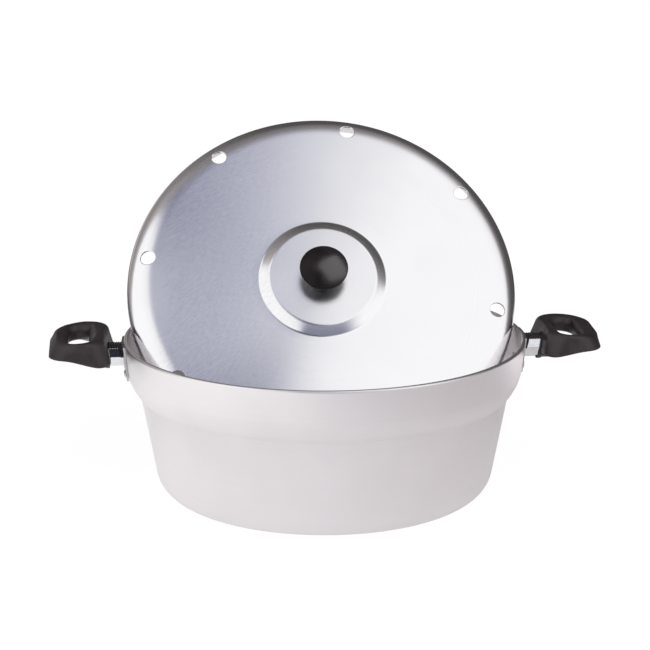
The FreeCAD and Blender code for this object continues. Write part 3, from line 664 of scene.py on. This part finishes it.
def reach(low, high, half, low_round, high_round, centre, angle):
    """How far a rounded box reaches from a centre on the x axis at each angle: the distance of its
    outline's points, read off by their own angles."""
    corners = [(low, -half, low_round), (high, -half, high_round),
               (high, half, high_round), (low, half, low_round)]
    box = evenly(softened(corners, steps=24), 2400) - (centre, 0.0)
    turns = np.arctan2(box[:, 1], box[:, 0])
    return np.interp(angle, turns, np.hypot(*box.T), period=2 * pi)


def loop_shape(lift, start, back, end, corner, around=288, section=88):
    """The finger loop as a ring round the slot. At angle a round the slot's centre the section is a
    softened square in two shares: out, from the slot's edge to the outer edge, and up, from underside
    to top. The outer edge is squarer and wider at the bottom than at the top, the top slopes down
    outwards and falls softly into the slot, and the inner end leans outwards from bottom to top and
    runs a little askew, its far side nearer the pot.
    Lift raises all but the underside of the neck, start is where the bottom of the inner end is,
    back is the sign of y on the far side, and end and corner are where the top's outer end is and how
    round its corners are."""
    a = (np.arange(around) * 2 * pi / around)[:, None]
    square = evenly(softened([(1.0, 0.0, 0.13), (1.0, 1.0, 0.19), (0.0, 1.0, 0.42), (0.0, 0.0, 0.16)],
                             steps=12), section)
    out, up = square[None, :, 0], square[None, :, 1]
    middle = (slot_start + slot_end) / 2
    bottom = reach(start, grip_high[0] - end_draft, grip_half, *low_corners, middle, a)
    top = reach(start + inner_lean, end, grip_half - side_draft, top_inner_corner, corner, middle, a)
    inner = reach(slot_start, slot_end, slot_half, slot_round, slot_round, middle, a)
    outer = bottom + (top - bottom) * up
    distance = inner + (outer - inner) * out
    x, y = middle + distance * np.cos(a), distance * np.sin(a)
    askew = np.clip(back * y / grip_half, 0, 1) * np.clip((slot_start - x) / (slot_start - start), 0, 1)
    x = x - grip_skew * askew

    run = np.clip((x - grip_start - underside_start) / underside_run, 0, 1)
    fall = 1 - run * run * (3 - 2 * run)
    under = underside_end - fall * (underside_end - underside_neck)
    under = under - fall * (underside_neck - underside_middle) * np.exp(-(y / underside_width)**2)
    under = under + lift * (1 - fall)
    slope = grip_tilt * (0.35 - (x - grip_start) / (grip_high[0] - grip_start))
    crest = grip_top + crest_rise + 1.1 * lift + slope
    slot_run = np.clip((x - slot_start) / (slot_end - slot_start), 0, 1)
    slot_under = crest - slot_depth - slot_fall * slot_run
    under = slot_under + (under - slot_under) * np.clip(out, 0, 1)**0.8
    crest = crest - slot_edge_fall * np.clip(1 - (distance - inner) / slot_edge, 0, 1)**2
    z = under + (crest - under) * up
    return np.stack([x, y, z], axis=-1).reshape(-1, 3), grid_faces(around, section)


def along_x(outline, segments, closed=True):
    """An outline of (radius, x) turned about the grip's own axis."""
    points, faces = turned(outline, segments, closed)
    return points[:, [2, 0, 1]] + (0.0, 0.0, grip_axis_z), faces


cut_start, cut_end = grip_start - 0.02, grip_start + 0.021
seat_outline = np.array([(0.0, cut_start), (bore_radius, cut_start), (bore_radius, seat_start),
                         (seat_radius, seat_start), (seat_radius, cut_end), (0.0, cut_end)])
cutter = bpy.data.objects.new("seat_cutter", make_mesh("seat_cutter", [along_x(seat_outline, 64, False)]))
bpy.context.scene.collection.objects.link(cutter)
loops = {"right": loop_shape(0.0003, grip_start + 0.0016, 1, grip_high[0] - 0.0030, 0.022),
         "left": loop_shape(0.0021, grip_start - 0.0012, -1, grip_high[0] - 0.0058, 0.026)}
loop_meshes = {side: modified(make_mesh("loop", [loop]),
                              ("BOOLEAN", {"operation": "DIFFERENCE", "object": cutter, "solver": "EXACT"}))
               for side, loop in loops.items()}
bpy.data.objects.remove(cutter)

neck_outline = softened([
    (bore_radius, grip_low[0] + 0.0002), (spigot_radius, grip_low[0] + 0.0002, 0.0006),
    (spigot_radius, grip_start + guard_socket), (socket_radius, grip_start + guard_socket),
    (socket_radius, grip_start, 0.0003), (neck_radius, grip_start, 0.0006),
    (neck_radius, grip_start + 0.0030, 0.0010), (neck_waist, grip_start + 0.0046, 0.0010),
    (neck_waist, grip_start + neck_length, 0.0025), (seat_radius, grip_start + neck_length, 0.0004),
    (seat_radius, seat_start), (bore_radius, seat_start)], steps=5)


def neck_tube():
    """The neck, turned, with its lip leaning outwards from bottom to top: on the outside a point
    moves out by its share of the height, fading to none along the neck."""
    points, faces = along_x(neck_outline, 96)
    above = points[:, 2] - grip_axis_z
    share = np.clip(above / neck_radius + 1, 0, 2) / 2
    fade = np.clip(1 - (points[:, 0] - grip_start) / slant_fade, 0, 1)
    outside = np.hypot(points[:, 1], above) > slant_inside
    points[:, 0] = points[:, 0] + neck_slant * share * (fade * outside)
    return points, faces


def ribbed_saddle(around=256, along=72):
    """The part of the neck that shows over the flame guard, as a tube whose radius depends on place
    along it and on the angle from straight up. Up to a half-angle it stands proud of the guard, with
    ribs across; past that it lies in the guard's wall. The half-angle widens near the pot."""
    seat, hidden, stand, rib_height, rib_pitch, bore_share = 0.0101, 0.0084, 0.0014, 0.0003, 0.0019, 0.75
    plate_gap, lap, wide_length, wide_fade = 0.0003, 0.004, 0.0032, 0.0012
    narrow, widening, edge_fade = radians(47.0), radians(46.0), radians(5.0)
    angle = np.arange(around) * 2 * pi / around
    share = np.linspace(0, 1, along)[:, None]
    pot_end = plate_reach(seat * np.sin(angle), grip_axis_z + seat * np.cos(angle)) + plate_gap
    x = pot_end + share * (grip_start + lap - pot_end)
    half_angle = narrow + widening * np.clip((wide_length - (x - pot_end)) / wide_fade, 0, 1)
    from_top = np.abs((angle + pi) % (2 * pi) - pi)
    proud = np.clip((half_angle - from_top) / edge_fade + 0.5, 0, 1)
    radius = hidden + proud * (stand + rib_height * np.cos(2 * pi * x / rib_pitch))
    outside, inside = (np.stack([x, radius * size * np.sin(angle),
                                 grip_axis_z + radius * size * np.cos(angle)], axis=-1)
                       for size in (1.0, bore_share))
    rings = np.concatenate([outside, inside[::-1]])
    return rings.reshape(-1, 3), grid_faces(2 * along, around)


neck_mesh = make_mesh("neck", [neck_tube(), ribbed_saddle()])


# Moulded plastic: a fine orange-peel skin with a few slow ripples.
moulded_skin, given, result = new_group(
    "moulded_skin",
    {"Place": ("NodeSocketVector", None), "Grain": ("NodeSocketFloat", 1500.0)},
    {"Height": "NodeSocketFloat", "Tone": "NodeSocketFloat"})
ripples = noise(moulded_skin, given["Place"], 70.0, 2.0)
skin = between(moulded_skin, noise(moulded_skin, given["Place"], given["Grain"], 2.0), ripples, 0.4)
moulded_skin.links.new(skin, result["Height"])
moulded_skin.links.new(ease(moulded_skin, ripples, 0.3, 0.7), result["Tone"])


def moulded_plastic(name, light_colour, dark_colour, roughness, grain, bump):
    """Moulded phenolic: skin relief, with tone and polish that drift slowly over the surface."""
    material, tree = blank_material(name)
    skin = node(tree, "ShaderNodeGroup", {"node_tree": moulded_skin}, Place=surface_place(tree),
                Grain=grain)
    height, tone = skin.outputs["Height"], skin.outputs["Tone"]
    polish = ramp(tree, tone, 0.0, 1.0, roughness * 0.85, roughness * 1.15)
    shaded(tree, Base_Color=tinted(tree, dark_colour, light_colour, tone), Roughness=polish,
           Normal=relief(tree, height, bump, 0.0003))
    return material


grip_plastic = moulded_plastic("brown_black_phenolic", (0.032, 0.024, 0.025, 1.0),
                               (0.022, 0.016, 0.017, 1.0), roughness=0.42, grain=1600.0, bump=0.25)
for side, sign in sides:
    grip_mesh = bpy.data.meshes.new(f"{side}_grip_moulding")
    work = bmesh.new()
    work.from_mesh(loop_meshes[side])
    work.from_mesh(neck_mesh)
    work.to_mesh(grip_mesh)
    work.free()
    place_mesh(grip_mesh, Matrix.Rotation(0 if sign > 0 else pi, 4, "Z"))
    add_piece(f"{side}_grip_moulding", grip_mesh, grip_plastic, "pot",
              [f"{side}_handle_grip"], sharp=42.0)

# ---- Grip screws and washers -----------------------------
# Zinc-plated pan-head screws on spring washers, let into the neck and reached through the finger
# slot. They keep their CAD shape.
zinc = plated_metal("zinc_plated_steel", (0.72, 0.73, 0.76, 1.0), (0.52, 0.53, 0.56, 1.0),
                    roughness=0.28, grain=1200.0, bump=0.12)
finish_nodes([f"{side}_handle_{part}" for side, _ in sides for part in ("screw", "washer")], zinc)

# ---- Lid -------------------------------------------------
# A thin aluminium disc spun to a low cone with a rounded shoulder and a short skirt, a raised hub for
# the knob, and eight punched vents round the edge. It leans back inside the open pot.
lid_wall, lid_edge = 0.0015, 0.00025
lid_radius = rim_radius - pot_wall - 0.0003
lip_radius, skirt_middle = lid_radius - 0.0006, (lid_radius - 0.0003, 0.005)
skirt_height, shoulder_radius, shoulder_blend, blend_tilt = 0.010, 0.0128, 0.058, radians(18.0)
crown_slope, crown_rise, crown_curve = radians(6.6), 0.0077, 1.8
hub_base, hub_top, hub_step = 0.051, 0.043, 0.0048
hub_base_round, hub_top_round, hub_flat_round = 0.0045, 0.0055, 0.020
hub_flat, hub_rise, knob_bore = 0.014, 0.0014, 0.0025
vent_radius, vent_circle, vent_count, vent_turn = 0.0061, lid_radius - 0.0148, 8, radians(-10.3)
lid_lean, lid_turn, lid_back, lid_up = radians(50.0), radians(-1.7), 0.046, 0.0199
lid_axis_place = Vector((-lid_back * sin(lid_turn), lid_back * cos(lid_turn), rim_height + lid_up))
lid_axis_turn = Euler((lid_lean, 0.0, lid_turn))
lid_matrix = Matrix.LocRotScale(lid_axis_place, lid_axis_turn, None)

blend_foot = (lid_radius - shoulder_radius * (1 - sin(blend_tilt)),
              skirt_height + shoulder_radius * cos(blend_tilt))
crown_foot = (blend_foot[0] - shoulder_blend * (sin(blend_tilt) - sin(crown_slope)),
              blend_foot[1] + shoulder_blend * (cos(crown_slope) - cos(blend_tilt)))
hub_foot = (hub_base, crown_foot[1] + crown_rise)
lid_top = hub_foot[1] + hub_step + hub_rise
crown_arc = bent(crown_foot, hub_foot, crown_curve, 1, 24)
hub_line = softened([crown_arc[-3], (*hub_foot, hub_base_round),
                     (hub_top, hub_foot[1] + hub_step, hub_top_round),
                     (hub_flat, lid_top, hub_flat_round), (knob_bore, lid_top)], steps=8, closed=False)
shoulder_arc = bent((lid_radius, skirt_height), blend_foot, shoulder_radius, 1, 24)
blend_arc = bent(blend_foot, crown_foot, shoulder_blend, 1, 8)
lid_profile = np.concatenate([[(lip_radius, 0.0), skirt_middle], shoulder_arc, blend_arc[1:],
                              crown_arc[1:-3], hub_line])

columns, patch_columns, patch_rows, ring_rows = 384, 14, 12, 9
patch_gap, ring_crowding = 0.0002, 1.3
patch_half = patch_columns // 2
patch_reach = vent_circle * (2 * pi / columns) * patch_half * 0.74


def lid_height(r):
    """The height of the lid's outer face at a distance from its axis, read off its profile."""
    order = np.argsort(lid_profile[:, 0])
    return np.interp(r, lid_profile[order, 0], lid_profile[order, 1])


def lid_surface():
    """The lid's outer face. Most of it is the profile carried round the axis. Round each vent a patch
    of that grid is left out, and a ring grid takes its place: ring k goes from the vent's circle
    (k = 0) to the patch's edge (k = 1) in distance and angle, and takes the profile's height."""
    patch_low, patch_high = vent_circle - patch_reach, vent_circle + patch_reach
    levels = np.linspace(patch_high, patch_low, patch_rows + 1)
    above = lid_profile[lid_profile[:, 0] > patch_high + patch_gap]
    below = lid_profile[lid_profile[:, 0] < patch_low - patch_gap]
    rows = np.concatenate([above, np.stack([levels, lid_height(levels)], axis=1), below])
    points, faces = turned(rows, columns, closed=False, start=vent_turn)
    row, column = faces[:, 0] // columns, faces[:, 0] % columns
    sector = columns // vent_count
    offset = (column + patch_half) % sector
    in_patch = (row >= len(above)) & (row < len(above) + patch_rows) & (offset < patch_columns)
    shells = [(points, faces[~in_patch])]

    step = 2 * pi / columns
    along = (np.arange(patch_columns) - patch_half) * step
    edge_r = np.concatenate([np.full(patch_columns, levels[0]), levels[:-1],
                             np.full(patch_columns, levels[-1]), levels[:0:-1]])
    edge_a = np.concatenate([along, np.full(patch_rows, patch_half * step),
                             -along, np.full(patch_rows, -patch_half * step)])
    bearing = np.arctan2(edge_a * vent_circle, edge_r - vent_circle)
    vent_r = vent_circle + vent_radius * np.cos(bearing)
    vent_a = vent_radius * np.sin(bearing) / vent_circle
    share = np.linspace(0, 1, ring_rows)[:, None]**ring_crowding
    ring_r = vent_r + (edge_r - vent_r) * share
    ring_a = vent_a + (edge_a - vent_a) * share
    for number in range(vent_count):
        turn = vent_turn + number * 2 * pi / vent_count + ring_a
        ring = np.stack([ring_r * np.cos(turn), ring_r * np.sin(turn), lid_height(ring_r)], axis=-1)
        shells.append((ring.reshape(-1, 3), grid_faces(ring_rows, len(edge_r), wrap_rows=False)))
    return shells


lid_mesh = make_mesh("lid_spun", lid_surface(), closed=False)
turning_uv(lid_mesh)
lid_mesh = modified(lid_mesh,
                    ("SOLIDIFY", {"thickness": lid_wall, "offset": -1.0, "use_even_offset": True}),
                    ("BEVEL", {"width": lid_edge, "segments": 2, "limit_method": "ANGLE",
                               "angle_limit": radians(60)}))
place_mesh(lid_mesh, lid_matrix)
lid_metal = spun_metal("brushed_lid_aluminium", (0.96, 0.955, 0.97, 1.0), (0.93, 0.925, 0.94, 1.0),
                       roughness=0.17, rings=5200.0, bump=0.010, spread=0.03, clouds=0.2,
                       axis=(lid_axis_place, lid_axis_turn), tangent=0.55,
                       centre=(hub_base - 0.003, 0.08), grain=radians(34.0))
add_piece("lid_spun", lid_mesh, lid_metal, "lid", ["lid_shell"], sharp=50.0)

# ---- Knob ------------------------------------------------
# A black phenolic mushroom knob moulded on a brass insert: low crown, thin rounded edge, and an
# underside that flares down to a short foot on the hub. It is more polished than the grips.
knob_radius, knob_edge, knob_crown = 0.0194, 0.014, 0.0055
knob_foot, knob_foot_height, knob_stem, knob_stem_height = 0.0125, 0.002, 0.009, 0.006
insert_radius, insert_top = 0.005, 0.011
flare_curve, edge_curve = 0.012, 0.0016
crown_radius = (knob_radius**2 + knob_crown**2) / (2 * knob_crown)
stem_top = (knob_stem, knob_stem_height)
flare_end = (knob_radius - 0.0020, knob_edge - 0.0022)
edge_start = (knob_radius - 0.0013, knob_edge - 0.0017)
edge_end = (knob_radius - 0.0002, knob_edge + 0.0003)
crown_start = (knob_radius - 0.0009, knob_edge + 0.0007)
knob_outline = np.concatenate([
    [(insert_radius, 0.0)],
    softened([(insert_radius, 0.0), (knob_foot, 0.0, 0.0004), (knob_foot, knob_foot_height, 0.0008),
              stem_top], steps=4, closed=False)[1:-1],
    bent(stem_top, flare_end, flare_curve, -1, 16),
    bent(edge_start, edge_end, edge_curve, 1, 8),
    bent(crown_start, (0.0, knob_edge + knob_crown), crown_radius, 1, 32),
    [(0.0, insert_top), (insert_radius, insert_top)]])
knob_mesh = make_mesh("knob_moulding", [turned(knob_outline, 160)])
place_mesh(knob_mesh, lid_matrix @ Matrix.Translation((0, 0, lid_top)))
knob_plastic = moulded_plastic("black_knob_phenolic", (0.006, 0.0045, 0.005, 1.0),
                               (0.004, 0.003, 0.0035, 1.0), roughness=0.25, grain=1100.0, bump=0.04)
knob_tree = knob_plastic.node_tree
knob_place = in_frame(knob_tree, surface_place(knob_tree), Location=lid_axis_place, Rotation=lid_axis_turn)
shine_end = lid_top + knob_edge - 0.001
knob_shine = ease(knob_tree, split(knob_tree, knob_place, 3)[2], shine_end - 0.003, shine_end, 1.0, 0.12)
knob_shader = knob_tree.nodes["Principled BSDF"]
knob_tree.links.new(knob_shine, knob_shader.inputs["Specular IOR Level"])
knob = add_piece("knob_moulding", knob_mesh, knob_plastic, "lid", ["lid_knob"],
                 sharp=50.0)
lit_alone = bpy.data.collections.new("knob_light_receivers")
lit_alone.objects.link(knob)
knob_lamp = lamp("knob_lamp", (0.43, -0.47, 0.97), 1.1, 36.0)
knob_lamp.visible_glossy = True
knob_lamp.light_linking.receiver_collection = lit_alone

# ---- Knob insert, screw and washers ----------------------
# A turned brass bush moulded into the knob, threaded for the zinc-plated screw that comes up through
# a flat and a spring washer under the lid. All keep their CAD shape.
brass = plated_metal("turned_brass", (0.76, 0.58, 0.27, 1.0), (0.60, 0.44, 0.19, 1.0),
                     roughness=0.3, grain=1000.0, bump=0.15)
finish_nodes(["knob_insert"], brass)
finish_nodes(["knob_washer", "knob_lock_washer", "knob_screw"], zinc)
